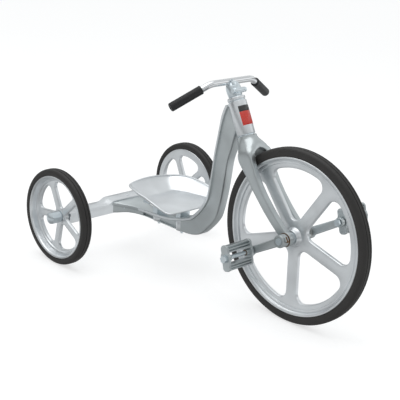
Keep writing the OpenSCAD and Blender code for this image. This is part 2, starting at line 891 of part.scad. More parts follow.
// A lever that leans outwards from its axle boss to its pedal boss
module crank(side) {
    arm_half = 13;
    end_half = 11;
    root_x = crank_in + crank_t / 2 + 2;
    lean = atan((crank_end_in + crank_t / 2 - root_x) / crank_l);
    color(cast_grey)
    along_crank(side)
        difference() {
            union() {
                cross_bar(crank_end_r, crank_in, crank_out);
                translate([0, crank_l, 0]) cross_bar(pedal_end_r, crank_end_in - nut_seat, crank_end_out);
                translate([root_x, 0, 0]) rotate([0, 0, -lean])
                    across(crank_t - 2)
                        polygon([[0, -arm_half], [crank_l, -end_half], [crank_l, end_half], [0, arm_half]]);
                translate([pinch_x, -crank_end_r, 0]) cube([crank_t, 14, 12], center = true);
            }
            cross_bar(crank_axle_d / 2, crank_in - 10, crank_out + 10);
            translate([0, crank_l, 0]) cross_bar(spindle_d / 2, crank_in + 2, crank_end_out + 5);
            translate([pinch_x, -crank_end_r - 3, -20]) cylinder(r = 2.5 + fit, h = 40);
        }
}

module crank_right() {
    crank(-1);
}

module crank_left() {
    crank(1);
}

module crank_bolts() {
    color(bronze)
    for (side = [-1, 1])
        along_crank(side)
            translate([pinch_x, -crank_end_r - 3, -9])
                union() {
                    cylinder(r = 2.5, h = 15);
                    translate([0, 0, -1]) cylinder(r = 4, h = 4);
                }
}

module spindle(side) {
    color(zinc) along_crank(side) translate([0, crank_l, 0])
        union() {
            cross_bar(spindle_d / 2, crank_end_in - nut_seat - 8, pedal_out + 9);
            cross_bar(spindle_d / 2 + 3, crank_end_out, crank_end_out + 1.5);
        }
}

module spindle_right() {
    spindle(-1);
}

module spindle_left() {
    spindle(1);
}

module spindle_nuts() {
    color(zinc)
    for (side = [-1, 1])
        along_crank(side) translate([crank_end_in - nut_seat - 7, crank_l, 0]) rotate([0, 90, 0])
            difference() {
                hex_head(7, 18);
                translate([0, 0, -1]) cylinder(r = spindle_d / 2 + fit, h = 9);
            }
}

// A cast pedal: two eight-sided plates joined by ribbed treads and a barrel
module pedal(side) {
    plate_d = 34;
    corner = 10;
    tread = pedal_h / 2 - 4;
    color(cast_grey)
    at_pedal(side)
        difference() {
            union() {
                for (x = [pedal_in, pedal_out - pedal_plate_t])
                    translate([x + pedal_plate_t / 2, 0, 0]) across(pedal_plate_t)
                        polygon([[-plate_d / 2, -pedal_h / 4], [-corner, -pedal_h / 2], [corner, -pedal_h / 2],
                                 [plate_d / 2, -pedal_h / 4], [plate_d / 2, pedal_h / 4], [corner, pedal_h / 2],
                                 [-corner, pedal_h / 2], [-plate_d / 2, pedal_h / 4]]);
                cross_bar(pedal_barrel_r, pedal_in, pedal_in + pedal_bush_l);
                cross_bar(pedal_barrel_r, pedal_out - pedal_bush_l, pedal_out);
                for (z = [-tread, -tread * 0.52, tread * 0.52, tread])
                    translate([(pedal_in + pedal_out) / 2, 0, z])
                        cube([pedal_l - 2, abs(z) > tread * 0.8 ? 20 : 26, 6], center = true);
            }
            cross_bar(spindle_d / 2 + 2, pedal_in - 1, pedal_out + 1);
        }
}

module pedal_right() {
    pedal(-1);
}

module pedal_left() {
    pedal(1);
}

module pedal_bush(side) {
    color(bronze) at_pedal(side)
        difference() {
            union() {
                cross_bar(spindle_d / 2 + 2, pedal_in, pedal_in + pedal_bush_l);
                cross_bar(spindle_d / 2 + 2, pedal_out - pedal_bush_l, pedal_out);
            }
            cross_bar(spindle_d / 2 + fit, pedal_in - 1, pedal_out + 1);
        }
}

module pedal_bush_right() {
    pedal_bush(-1);
}

module pedal_bush_left() {
    pedal_bush(1);
}

module pedal_nut(side) {
    color(zinc) along_crank(side) translate([pedal_out + play, crank_l, 0]) rotate([0, 90, 0])
        difference() {
            union() {
                cylinder(r = spindle_d / 2 + 4.5, h = 1.5);
                hex_head(9, 19);
            }
            translate([0, 0, -1]) cylinder(r = spindle_d / 2 + fit, h = 12);
        }
}

module pedal_nut_right() {
    pedal_nut(-1);
}

module pedal_nut_left() {
    pedal_nut(1);
}

main_frame();
upper_head_bush();
lower_head_bush();
head_badge();
rear_axle_beam();
beam_bolts();
beam_nuts();
stub_axles();
axle_washers();
cap_nut_right();
cap_nut_left();
seat_pan();
front_seat_bracket();
rear_seat_bracket();
seat_bolts();
seat_nuts();
fork();
steerer();
crown_race();
head_collar();
stem();
stem_bolt();
stem_nut();
bar_screw();
handlebar();
grip_right();
grip_left();
fork_bush_right();
fork_bush_left();
front_wheel();
front_tyre();
hub_spacers();
crank_axle();
crank_right();
crank_left();
crank_bolts();
spindle_right();
spindle_left();
spindle_nuts();
pedal_right();
pedal_left();
pedal_bush_right();
pedal_bush_left();
pedal_nut_right();
pedal_nut_left();
rear_wheel_right();
rear_tyre_right();
hub_bush_right();
rear_wheel_left();
rear_tyre_left();
hub_bush_left();
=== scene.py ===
import bpy
import bmesh
import math
from mathutils import Vector, Matrix


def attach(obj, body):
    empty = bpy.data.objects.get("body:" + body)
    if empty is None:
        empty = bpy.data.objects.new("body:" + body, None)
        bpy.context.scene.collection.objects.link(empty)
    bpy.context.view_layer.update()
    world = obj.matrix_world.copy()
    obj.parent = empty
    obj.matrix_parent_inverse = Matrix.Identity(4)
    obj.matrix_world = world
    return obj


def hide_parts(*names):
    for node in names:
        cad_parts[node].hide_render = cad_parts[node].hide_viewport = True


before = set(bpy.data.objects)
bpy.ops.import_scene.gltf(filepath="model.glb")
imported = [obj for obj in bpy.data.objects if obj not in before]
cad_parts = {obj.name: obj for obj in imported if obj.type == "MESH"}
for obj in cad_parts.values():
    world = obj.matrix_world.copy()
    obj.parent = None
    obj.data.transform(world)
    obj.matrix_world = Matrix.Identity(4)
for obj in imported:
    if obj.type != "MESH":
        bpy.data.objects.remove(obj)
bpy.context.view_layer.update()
print("frame loaded:", len(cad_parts), "nodes")

mm = 0.001         # every size below is in millimetres until a piece is finished
mergeGap = 0.02    # points closer than this are one

layout = {
    "frontHub": (0, -309, 254),
    "rearHub": (0, 411, 152),
    "headLean": 28,          # degrees back from upright
    "forkOffset": 75,
    "headBottom": 315.3,     # along the steering axis, above the foot of the front axle
    "headLength": 100,
    "barRise": 60,
}
frontHub = Vector(layout["frontHub"])
rearHub = Vector(layout["rearHub"])
lean = math.radians(layout["headLean"])
steerUp = Vector((0, math.sin(lean), math.cos(lean)))
steerAhead = Vector((0, -math.cos(lean), math.sin(lean)))
steerFoot = frontHub - steerAhead * layout["forkOffset"]
headTop = layout["headBottom"] + layout["headLength"]
barHeight = headTop + layout["barRise"]


def onSteer(x, ahead, up):
    return steerFoot + Vector((x, 0, 0)) + steerAhead * ahead + steerUp * up


def mix(a, b, t):
    return a + (b - a) * t


def ease(a, b, x):
    t = min(1, max(0, (x - a) / (b - a)))
    return t * t * (3 - 2 * t)


def follow(table, x):
    # straight-line reading of a table of (x, value, value...) rows
    if x <= table[0][0]:
        return table[0][1:]
    for lo, hi in zip(table, table[1:]):
        if x <= hi[0]:
            t = (x - lo[0]) / (hi[0] - lo[0])
            return tuple(mix(a, b, t) for a, b in zip(lo[1:], hi[1:]))
    return table[-1][1:]


def smoothPath(points, count):
    # Catmull-Rom curve through the points, count spans to each gap
    out = []
    ends = [points[0] * 2 - points[1]] + list(points) + [points[-1] * 2 - points[-2]]
    for i in range(1, len(ends) - 2):
        a, b, c, d = ends[i - 1:i + 3]
        for k in range(count):
            t = k / count
            out.append(0.5 * (2 * b + (c - a) * t + (2 * a - 5 * b + 4 * c - d) * t * t
                              + (3 * b - a - 3 * c + d) * t * t * t))
    out.append(Vector(points[-1]))
    return out


# mesh helpers

def drawOut(bm, rows, ring=True):
    # a chain of edges extruded from row to row; ring closes every row on itself
    first = verts = [bm.verts.new(p) for p in rows[0]]
    pairs = list(zip(verts, verts[1:])) + ([(verts[-1], verts[0])] if ring else [])
    edges = [bm.edges.new(pair) for pair in pairs]
    for row in rows[1:]:
        grown = bmesh.ops.extrude_edge_only(bm, edges=edges)["geom"]
        edges = [g for g in grown if isinstance(g, bmesh.types.BMEdge)]
        fresh = set(g for g in grown if isinstance(g, bmesh.types.BMVert))
        verts = [next(e.other_vert(v) for e in v.link_edges if e.other_vert(v) in fresh) for v in verts]
        for v, place in zip(verts, row):
            v.co = place
    return first, verts


def skin(bm, rings, around=False):
    # a closed skin over rings of points; around joins the last ring to the first
    if around:
        drawOut(bm, rings + rings[:1])
    else:
        for end in drawOut(bm, rings):
            bm.faces.new(end)


def sideways(axis):
    # two unit vectors square to axis, the first as near to straight up as can be
    up = Vector((0, 0, 1)) if abs(axis.z) < 0.9 else Vector((0, 1, 0))
    a = (up - axis * up.dot(axis)).normalized()
    return a, axis.cross(a)


def lathe(bm, start, axis, profile, steps=64, hollow=False):
    # profile is (radius, distance along axis) pairs; a solid one is closed on the axis
    axis = Vector(axis).normalized()
    out = sideways(axis)[0]
    if not hollow:
        profile = [(0, profile[0][1])] + list(profile) + [(0, profile[-1][1])]
    verts = [bm.verts.new(start + axis * h + out * r) for r, h in profile]
    pairs = list(zip(verts, verts[1:])) + ([(verts[-1], verts[0])] if hollow else [])
    edges = [bm.edges.new(pair) for pair in pairs]
    bmesh.ops.spin(bm, geom=verts + edges, cent=start, axis=axis, angle=math.tau, steps=steps, use_merge=True)


def roundedRod(bm, start, end, r, soft=1, steps=48):
    axis = end - start
    length = axis.length
    arcs = [(math.sin(math.radians(t)), 1 - math.cos(math.radians(t))) for t in (0, 30, 60, 90)]
    near = [(r - soft + soft * s, soft - soft * math.cos(math.asin(s))) for s, c in arcs]
    profile = near + [(q, length - h) for q, h in near[::-1]]
    lathe(bm, start, axis, profile, steps)


def hexBar(bm, start, end, across, soft):
    axis = end - start
    length = axis.length
    r = across / math.sqrt(3)
    lathe(bm, start, axis, [(r - soft, 0), (r, soft * 0.6), (r, length - soft * 0.6), (r - soft, length)], 6)


def prism(bm, outline, depth):
    # a flat outline pushed along depth
    face = bm.faces.new([bm.verts.new(p) for p in outline])
    grown = bmesh.ops.extrude_face_region(bm, geom=[face])["geom"]
    bmesh.ops.translate(bm, vec=depth, verts=[g for g in grown if isinstance(g, bmesh.types.BMVert)])


def sweep(bm, path, r, steps=32):
    # a round bar along a path of points
    rings = []
    a = None
    for i, p in enumerate(path):
        t = (path[min(i + 1, len(path) - 1)] - path[max(i - 1, 0)]).normalized()
        if a is None:
            a = sideways(t)[0]
        a = (a - t * a.dot(t)).normalized()
        b = t.cross(a)
        rings.append([p + (a * math.cos(w) + b * math.sin(w)) * r
                      for w in [math.tau * k / steps for k in range(steps)]])
    skin(bm, rings)


def addPiece(name, bm, look, body, hides=(), sharp=32, soften=0):
    # soften is the radius of the rounded edges of a casting
    bmesh.ops.remove_doubles(bm, verts=bm.verts[:], dist=mergeGap)
    bmesh.ops.recalc_face_normals(bm, faces=bm.faces[:])
    limit = math.radians(sharp)
    for edge in bm.edges:
        edge.smooth = not (edge.is_manifold and edge.calc_face_angle(0) > limit)
    for face in bm.faces:
        face.smooth = True
    bmesh.ops.scale(bm, vec=(mm, mm, mm), verts=bm.verts[:])
    name = name.replace(" ", "_")
    mesh = bpy.data.meshes.new(name)
    bm.to_mesh(mesh)
    bm.free()
    piece = bpy.data.objects.new(name, mesh)
    bpy.context.collection.objects.link(piece)
    mesh.materials.append(looks[look])
    if soften:
        edges = piece.modifiers.new("rounded edges", "BEVEL")
        edges.width = soften * mm
        edges.segments = 2
        edges.limit_method = "ANGLE"
        edges.angle_limit = limit
        edges.use_clamp_overlap = True
        piece.modifiers.new("clean shading", "WEIGHTED_NORMAL").keep_sharp = True
    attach(piece, body)
    if hides:
        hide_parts(*hides)
    return piece


# materials

looks = {}


def link(tree, a, b):
    tree.links.new(a, b)


def makeLook(name, base, metallic, roughness, spread, grain, bump, spots=0.0, coat=0.0, wave=0.0):
    # spread is how far roughness wanders, grain the size of the surface texture
    mat = bpy.data.materials.new(name)
    mat.use_nodes = True
    tree = mat.node_tree
    shader = tree.nodes["Principled BSDF"]
    shader.inputs["Metallic"].default_value = metallic
    shader.inputs["Coat Weight"].default_value = coat
    shader.inputs["Coat Roughness"].default_value = 0.15
    place = tree.nodes.new("ShaderNodeTexCoord")
    cloud = tree.nodes.new("ShaderNodeTexNoise")
    cloud.inputs["Scale"].default_value = 9
    cloud.inputs["Detail"].default_value = 2
    link(tree, place.outputs["Object"], cloud.inputs["Vector"])
    tint = tree.nodes.new("ShaderNodeMapRange")
    tint.inputs["From Min"].default_value = 0.3
    tint.inputs["From Max"].default_value = 0.7
    tint.inputs["To Min"].default_value = 1 - spots
    tint.inputs["To Max"].default_value = 1 + spots * 0.5
    link(tree, cloud.outputs["Fac"], tint.inputs["Value"])
    colour = tree.nodes.new("ShaderNodeVectorMath")
    colour.operation = "SCALE"
    colour.inputs[0].default_value = base
    link(tree, tint.outputs["Result"], colour.inputs["Scale"])
    link(tree, colour.outputs["Vector"], shader.inputs["Base Color"])
    fine = tree.nodes.new("ShaderNodeTexNoise")
    fine.inputs["Scale"].default_value = grain
    fine.inputs["Detail"].default_value = 1
    link(tree, place.outputs["Object"], fine.inputs["Vector"])
    rough = tree.nodes.new("ShaderNodeMapRange")
    rough.inputs["From Min"].default_value = 0.25
    rough.inputs["From Max"].default_value = 0.75
    rough.inputs["To Min"].default_value = roughness - spread
    rough.inputs["To Max"].default_value = roughness + spread
    link(tree, fine.outputs["Fac"], rough.inputs["Value"])
    link(tree, rough.outputs["Result"], shader.inputs["Roughness"])
    wavy = tree.nodes.new("ShaderNodeTexNoise")
    wavy.inputs["Scale"].default_value = 13
    wavy.inputs["Detail"].default_value = 0.6
    link(tree, place.outputs["Object"], wavy.inputs["Vector"])
    waves = tree.nodes.new("ShaderNodeBump")
    waves.inputs["Strength"].default_value = wave
    waves.inputs["Distance"].default_value = 0.01
    link(tree, wavy.outputs["Fac"], waves.inputs["Height"])
    dents = tree.nodes.new("ShaderNodeBump")
    dents.inputs["Strength"].default_value = bump
    dents.inputs["Distance"].default_value = 0.0004
    link(tree, fine.outputs["Fac"], dents.inputs["Height"])
    link(tree, waves.outputs["Normal"], dents.inputs["Normal"])
    link(tree, dents.outputs["Normal"], shader.inputs["Normal"])
    looks[name] = mat
    return mat


makeLook("cast_aluminium", (0.61, 0.65, 0.66), 0.92, 0.33, 0.04, 40, 0.0, spots=0.15, wave=0.18)
makeLook("polished_aluminium", (0.86, 0.885, 0.905), 0.92, 0.31, 0.03, 40, 0.0, spots=0.12, wave=0.20)
makeLook("zinc_steel", (0.80, 0.87, 0.91), 0.97, 0.30, 0.02, 40, 0.0, spots=0.06)
makeLook("chrome", (0.90, 0.91, 0.925), 1.0, 0.07, 0.03, 60, 0.01, spots=0.02)
makeLook("bronze", (0.22, 0.13, 0.07), 0.7, 0.45, 0.10, 300, 0.25, spots=0.25)
makeLook("grip_rubber", (0.014, 0.015, 0.016), 0.0, 0.38, 0.08, 700, 0.35, spots=0.15)
makeLook("tyre_rubber", (0.027, 0.025, 0.024), 0.0, 0.55, 0.08, 500, 0.35, spots=0.15)
makeLook("badge_plate", (0.62, 0.045, 0.03), 0.0, 0.25, 0.04, 200, 0.03, spots=0.05, coat=0.5)
makeLook("badge_dark", (0.03, 0.03, 0.03), 0.0, 0.25, 0.04, 200, 0.03, spots=0.05, coat=0.5)

# wheels

frontCast = {
    "hub": frontHub, "turn": 57, "spokeWidth": 37, "tipRound": 24, "cornerRound": 25,
    "windowOut": 196, "webOut": 209, "hubEdge": 29, "halfWeb": 6.5, "edgeSoft": 3,
    # (radius, distance outwards from the web's middle), from the web out to the tyre and back
    "rim": [(209.6, 9.4), (211, 10.6), (214.6, 10.8), (215.6, 9.6), (217.4, 9.4), (219.4, 12.6),
            (222, 16), (224.2, 16.9), (227.2, 16.6), (228, 15.8), (228, -15.8), (227.2, -16.6),
            (224.2, -16.9), (222, -16), (219.4, -12.6), (217.4, -9.4), (215.6, -9.6), (214.6, -10.8),
            (211, -10.6), (209.6, -9.4)],
    "boss": [(27, 9), (25.5, 12), (23.5, 13.5), (22.5, 17.5), (21, 19), (10, 19),
             (10, -19), (21, -19), (22.5, -17.5), (23.5, -13.5), (25.5, -12), (27, -9)],
}
rearCast = {
    "hub": rearHub, "turn": 44, "spokeWidth": 21, "tipRound": 13, "cornerRound": 17,
    "windowOut": 108, "webOut": 113, "hubEdge": 23, "halfWeb": 6, "edgeSoft": 2.4,
    "rim": [(114, 7.4), (115.6, 9.4), (117.4, 9.8), (118.4, 9), (120, 9.4), (121.6, 14), (123, 20.5),
            (124.6, 25.6), (127, 27.8), (130, 28.4), (131.5, 27.2),
            (131.5, -3.8), (130.5, -5), (127, -5.4), (121, -5.6), (116, -5.8)],
    "boss": [(21.5, 7), (20.5, 8), (11, 8), (11, -16), (18.5, -16), (20, -14.5), (21.5, -8)],
}


def windowLoop(cfg, inset):
    # half of the window beside a spoke, from its inner tip round to the middle of its outer edge
    half = math.radians(36)
    w, g, f, out = cfg["spokeWidth"] / 2, cfg["tipRound"], cfg["cornerRound"], cfg["windowOut"]
    tipP = (w + g) / math.tan(half)
    cornerP = math.sqrt((out - f) ** 2 - (w + f) ** 2)
    cornerA = math.atan2(w + f, cornerP)
    pts = []
    for i in range(9):
        a = math.radians(mix(216, 270, i / 8))
        pts.append((tipP + (g + inset) * math.cos(a), w + g + (g + inset) * math.sin(a)))
    for i in range(1, 7):
        pts.append((mix(tipP, cornerP, i / 6), w - inset))
    for i in range(1, 11):
        a = mix(-math.pi / 2, cornerA, i / 10)
        pts.append((cornerP + (f + inset) * math.cos(a), w + f + (f + inset) * math.sin(a)))
    for i in range(1, 9):
        a = mix(cornerA, half, i / 8)
        pts.append(((out + inset) * math.cos(a), (out + inset) * math.sin(a)))
    return pts


def edgeLoop(cfg):
    # the edge of the web that goes with windowLoop: round the hub, up the spoke, round the rim
    half = math.radians(36)
    w, f, out = cfg["spokeWidth"] / 2, cfg["cornerRound"], cfg["windowOut"]
    cornerP = math.sqrt((out - f) ** 2 - (w + f) ** 2)
    cornerA = math.atan2(w + f, cornerP)
    hub, web = cfg["hubEdge"], cfg["webOut"]
    pts = []
    for i in range(9):
        a = half * (1 - i / 8)
        pts.append((hub * math.cos(a), hub * math.sin(a)))
    for i in range(1, 7):
        pts.append((mix(hub, cornerP, i / 6), 0))
    for i in range(1, 6):
        pts.append((mix(cornerP, web, i / 5), 0))
    for i in range(1, 6):
        a = cornerA * i / 5
        pts.append((web * math.cos(a), web * math.sin(a)))
    for i in range(1, 9):
        a = mix(cornerA, half, i / 8)
        pts.append((web * math.cos(a), web * math.sin(a)))
    return pts


def castWheel(bm, cfg, webX, side):
    step = math.radians(72)
    h, soft = cfg["halfWeb"], cfg["edgeSoft"]

    def place(p, q, x, sector, flip):
        a = math.atan2(q, p)
        r = math.hypot(p, q)
        a = (step - a if flip else a) + math.radians(cfg["turn"]) + sector * step
        return cfg["hub"] + Vector((side * (webX + x), -math.cos(a) * r, math.sin(a) * r))

    levels = [(edgeLoop(cfg), h), (windowLoop(cfg, soft), h), (windowLoop(cfg, soft * 0.45), h - soft * 0.16),
              (windowLoop(cfg, soft * 0.12), h - soft * 0.5), (windowLoop(cfg, 0), h - soft)]
    levels = levels + [(pts, -x) for pts, x in levels[::-1]]
    for sector in range(5):
        for flip in (False, True):
            drawOut(bm, [[place(p, q, x, sector, flip) for p, q in pts] for pts, x in levels], ring=False)
    edge = edgeLoop(cfg)

    def turned(profile, angles):
        # the same profile stands at each angle of the web's edge, so that the two meet point to point
        rings = []
        for sector in range(5):
            for flip in (False, True):
                for a in (angles if not flip else [step - t for t in angles[::-1]])[:-1]:
                    turnTo = a + math.radians(cfg["turn"]) + sector * step
                    rings.append([cfg["hub"] + Vector((side * (webX + x), -math.cos(turnTo) * r,
                                                       math.sin(turnTo) * r)) for r, x in profile])
        drawOut(bm, rings + rings[:1], ring=False)

    rimAngles = [math.atan2(q, p) for p, q in edge[19:]]
    hubAngles = [math.atan2(q, p) for p, q in edge[:9]][::-1]
    turned([(cfg["webOut"], h)] + cfg["rim"] + [(cfg["webOut"], -h)], rimAngles)
    turned([(cfg["hubEdge"], h)] + cfg["boss"] + [(cfg["hubEdge"], -h)], hubAngles)


def tyreProfile(outer, height):
    # (radius, distance from the tyre's middle): square shoulders, three tread lines
    inner = outer - height
    half = [(outer - 0.2, 0), (outer, 1.2), (outer - 0.05, 4.2), (outer - 1.9, 4.9), (outer - 1.9, 6.2),
            (outer - 0.2, 7), (outer - 0.6, 10), (outer - 1.6, 12.6), (outer - 3.6, 15), (outer - 6.4, 16.6),
            (outer - 9.5, 17.3), (outer - height * 0.55, 17.5), (inner + 4.5, 17.2), (inner + 2, 16.6),
            (inner + 0.4, 15.6)]
    return half


def tyre(name, hub, middleX, outer, height, body, node):
    bm = bmesh.new()
    half = tyreProfile(outer, height)
    ring = [(r, x) for r, x in half] + [(outer - height, 14.5), (outer - height, -14.5)] \
        + [(r, -x) for r, x in half[:0:-1]]
    lathe(bm, hub + Vector((middleX, 0, 0)), (1, 0, 0), ring, 144, hollow=True)
    addPiece(name, bm, "tyre_rubber", body, [node], sharp=50)


bm = bmesh.new()
castWheel(bm, frontCast, 0, 1)
addPiece("front wheel casting", bm, "polished_aluminium", "front_wheel", ["front_wheel"])
tyre("front tyre", frontHub, 0, 254, 26, "front_wheel", "front_tyre")
for side, word in ((-1, "right"), (1, "left")):
    bm = bmesh.new()
    castWheel(bm, rearCast, 268, side)
    addPiece(word + " rear wheel casting", bm, "polished_aluminium", word + "_rear_wheel",
             ["rear_wheel_" + word])
    tyre(word + " rear tyre", rearHub, side * 280, 152, 21, word + "_rear_wheel", "rear_tyre_" + word)
print("wheels done")

# main frame

beam = {
    # the beam's two edges seen from the side, as (y, z), from the top of the leg to the axle beam
    "front": [(-72, 560), (-76, 530), (-66, 498), (-54.2, 445), (-43, 406), (-37.5, 360), (-32, 310),
              (-24, 262), (-14.5, 225), (-4, 206), (13, 184), (42, 154.5), (66, 142), (92, 136), (131, 133.2),
              (200, 132.5), (290, 132), (330, 132), (362, 132), (378, 130), (394, 128)],
    "rear": [(-24, 572), (-17, 556), (-10.5, 535), (-6, 505), (0.8, 462), (7, 420), (12.5, 367),
             (19.5, 310), (27, 276), (41.8, 248.5), (60.8, 223), (89, 196), (108, 187.5), (132.8, 179.5),
             (178, 168), (224, 161.5), (290, 158), (330, 158), (362, 160), (378, 163), (394, 166)],
    "halfWidth": 17.5, "flangeHalf": 23, "flangeDeep": 10, "pocketHalf": 11,
    "upright": 133,    # from this y on, the beam is cut straight up and down
    # where the tail's sides are pocketed, as (start, end) in y
    "pockets": [(150, 306)],
    # how the tail spreads to meet the axle beam, as (y, extra half width)
    "spread": [(292, 0), (318, 4), (340, 11), (358, 22), (372, 36), (384, 50), (394, 60)],
}


def beamRings():
    front = smoothPath([Vector((0, y, z)) for y, z in beam["front"]], 4)
    rear = smoothPath([Vector((0, y, z)) for y, z in beam["rear"]], 4)
    stations = [(f, r) for f, r in zip(front, rear)]
    extra = []
    for y0, y1 in beam["pockets"]:
        extra += [y0 - 1.5, y0 + 1.5, y1 - 1.5, y1 + 1.5]
    upper = [s for s in stations if s[1].y < 109]
    bottomTable = [(f.y, f.z) for f in front if f.y > 40]
    topTable = [(r.y, r.z) for r in rear if r.y > 60]
    last = upper[-1]
    straight = []
    # the stations turn upright over the first stretch of the tail
    upright = beam["upright"]
    pairs = [(mix(last[0].y, upright, t), mix(last[1].y, upright, t)) for t in (0.25, 0.5, 0.75)]
    for low, high in pairs + [(y, y) for y in sorted([upright + i * 9 for i in range(30)] + extra)]:
        straight.append((Vector((0, low, follow(bottomTable, low)[0])),
                         Vector((0, high, follow(topTable, high)[0]))))
    rings = []
    for f, r in upper + straight:
        y = (f.y + r.y) / 2
        deep = (r - f).length
        out = (r - f).normalized()
        more = follow(beam["spread"], y)[0] if f.y > 110 else 0
        pocket = any(y0 < y < y1 for y0, y1 in beam["pockets"]) and f.y > 110
        w, v, t = beam["halfWidth"] + more, beam["flangeHalf"] + more, beam["flangeDeep"]
        p = beam["pocketHalf"] if pocket else w
        half = [(0, w - 5), (0.6, w - 2.4), (2, w - 0.8), (3, w), (4.6, w), (5.4, p), (deep - t - 3.6, p),
                (deep - t - 3, w), (deep - t - 1.4, w + 0.3), (deep - t - 0.4, v - 2.2),
                (deep - t + 0.2, v - 0.7), (deep - t + 1.4, v), (deep - 2.6, v), (deep - 0.8, v - 0.8),
                (deep, v - 2.8)]
        rings.append([f + out * d + Vector((-x, 0, 0)) for d, x in half]
                     + [f + out * d + Vector((x, 0, 0)) for d, x in half[::-1]])
    return rings


bm = bmesh.new()
skin(bm, beamRings())
addPiece("beam frame", bm, "cast_aluminium", "frame", ["main_frame"], sharp=38)

paintedHighlightParts = {
    "bosses": [(143, 34), (249, 18)],    # seat bolt bosses, seen as ribs on the tail's sides, in the brighter metal as a painted highlight: (y, height)
    "bossFoot": 133.4, "bossR": 20.4,
    "stripFrom": 9.2, "stripTo": 2, "stripProud": 0.2, "stripEnd": 330,    # a painted highlight along the flange's outer edge, in the brighter metal
}
# the bosses and the flange strips take the brighter metal: painted highlights on the frame's casting
bm = bmesh.new()
for y, top in paintedHighlightParts["bosses"]:
    r = paintedHighlightParts["bossR"]
    lathe(bm, Vector((0, y, paintedHighlightParts["bossFoot"])), (0, 0, 1),
          [(r - 1, 0), (r, 1), (r, top - 1), (r - 1, top)], 48)
for side in (-1, 1):
    strip = []
    for ring in beamRings():
        f, r = (ring[0] + ring[-1]) / 2, (ring[14] + ring[15]) / 2
        out = (r - f).normalized()
        deep = (r - f).length
        v = abs(ring[12].x)
        if f.y > paintedHighlightParts["stripEnd"]:
            break
        low, high = deep - paintedHighlightParts["stripFrom"], deep - paintedHighlightParts["stripTo"]
        proud = v + paintedHighlightParts["stripProud"]
        strip.append([f + out * d + Vector((side * x, 0, 0)) for d, x in
                      ((low, v - 1), (low + 0.6, proud), (high - 0.6, proud), (high, v - 1))])
    skin(bm, strip)
addPiece("painted highlight edges", bm, "polished_aluminium", "frame", sharp=60)

endBolt = {"x": 44, "y": 374, "z": 149, "washerR": 9, "washerOut": 3.2, "headOut": 8, "across": 11}
bm = bmesh.new()
for side in (-1, 1):
    # a bolt through each cheek of the frame's wide end, square to the cheek
    out = Vector((side * 0.83, -0.56, 0))
    foot = Vector((side * endBolt["x"], endBolt["y"], endBolt["z"]))
    roundedRod(bm, foot - out * 6, foot + out * endBolt["washerOut"], endBolt["washerR"], 1, 40)
    hexBar(bm, foot + out * 2, foot + out * endBolt["headOut"], endBolt["across"], 0.8)
addPiece("end bolts", bm, "zinc_steel", "frame", sharp=30)

headTube = {"r": 27, "bore": 14.1}
bm = bmesh.new()
r, bore, top = headTube["r"], headTube["bore"], layout["headLength"]
lathe(bm, onSteer(0, 0, layout["headBottom"]), steerUp,
      [(bore, 0), (r - 1.8, 0), (r - 0.4, 0.8), (r, 2), (r, top - 2), (r - 0.4, top - 0.7),
       (r - 1.8, top), (bore, top)], 80, hollow=True)
addPiece("head tube", bm, "polished_aluminium", "frame")

badge = {
    "low": 26, "high": 83, "parting": 66, "from": 4, "to": 100, "r": 27.1, "thick": 0.7,
    "turned": 54,    # degrees the badge's start is turned towards the rider's right
}


def badgePlate(name, low, high, look, hides):
    # a thin plate bent round the front of the head tube, from one turn to another
    bm = bmesh.new()
    rings = []
    for i in range(25):
        turn = math.radians(mix(badge["from"], badge["to"], i / 24) - badge["turned"])
        out = Vector((math.sin(turn), 0, 0)) + steerAhead * math.cos(turn)
        foot = onSteer(0, 0, layout["headBottom"])
        r, t = badge["r"], badge["thick"]
        edge = ((-0.4, low), (t - 0.2, low), (t, low + 0.3), (t, high - 0.3), (t - 0.2, high), (-0.4, high))
        rings.append([foot + out * (r + d) + steerUp * z for d, z in edge])
    skin(bm, rings)
    addPiece(name, bm, look, "frame", hides, sharp=50)


badgePlate("badge panel", badge["low"], badge["parting"], "badge_plate", ["head_badge"])
badgePlate("badge band", badge["parting"], badge["high"], "badge_dark", [])
print("main frame done")

# rear axle beam

axleBeam = {
    "end": 249, "front": 391, "back": 437, "low": 127.4, "top": 161, "lip": 3,
    "raised": 172, "raisedHalf": 74, "slopeHalf": 104,
}


def axleBeamSection(x):
    c = axleBeam
    rise = (c["raised"] - c["top"]) * (1 - ease(c["raisedHalf"], c["slopeHalf"], abs(x)))
    top = c["top"] + rise
    y0, y1, lip = c["front"], c["back"], c["lip"]
    return [Vector((x, y, z)) for y, z in [
        (y0 + 2, c["low"]), (y0, c["low"] + 2), (y0, top - 9.5), (y0 - lip, top - 7.5), (y0 - lip, top - 2),
        (y0 - lip + 2, top), (y0 + 15, top), (y0 + 16, top - 1), (y0 + 17.5, top - 1), (y0 + 18.5, top),
        (y1 - 2.5, top), (y1 - 0.6, top - 0.8), (y1, top - 2.8), (y1, c["low"] + 2), (y1 - 2, c["low"])]]


bm = bmesh.new()
xs = [-axleBeam["end"], 1.5 - axleBeam["end"], -180, -120, -104, -98, -92, -86, -80, -74, -40, 0]
xs = xs + [-x for x in xs[-2::-1]]
skin(bm, [axleBeamSection(x) for x in xs])
lathe(bm, Vector((0, rearHub.y - 2, axleBeam["raised"] - 1)), (0, 0, 1),
      [(6.5, 0), (6.5, 2.4), (5.5, 3.2), (3, 3.2), (2.5, 1.5)], 32)
addPiece("axle beam", bm, "polished_aluminium", "frame", ["rear_axle_beam"], sharp=30)
print("axle beam done")

# seat

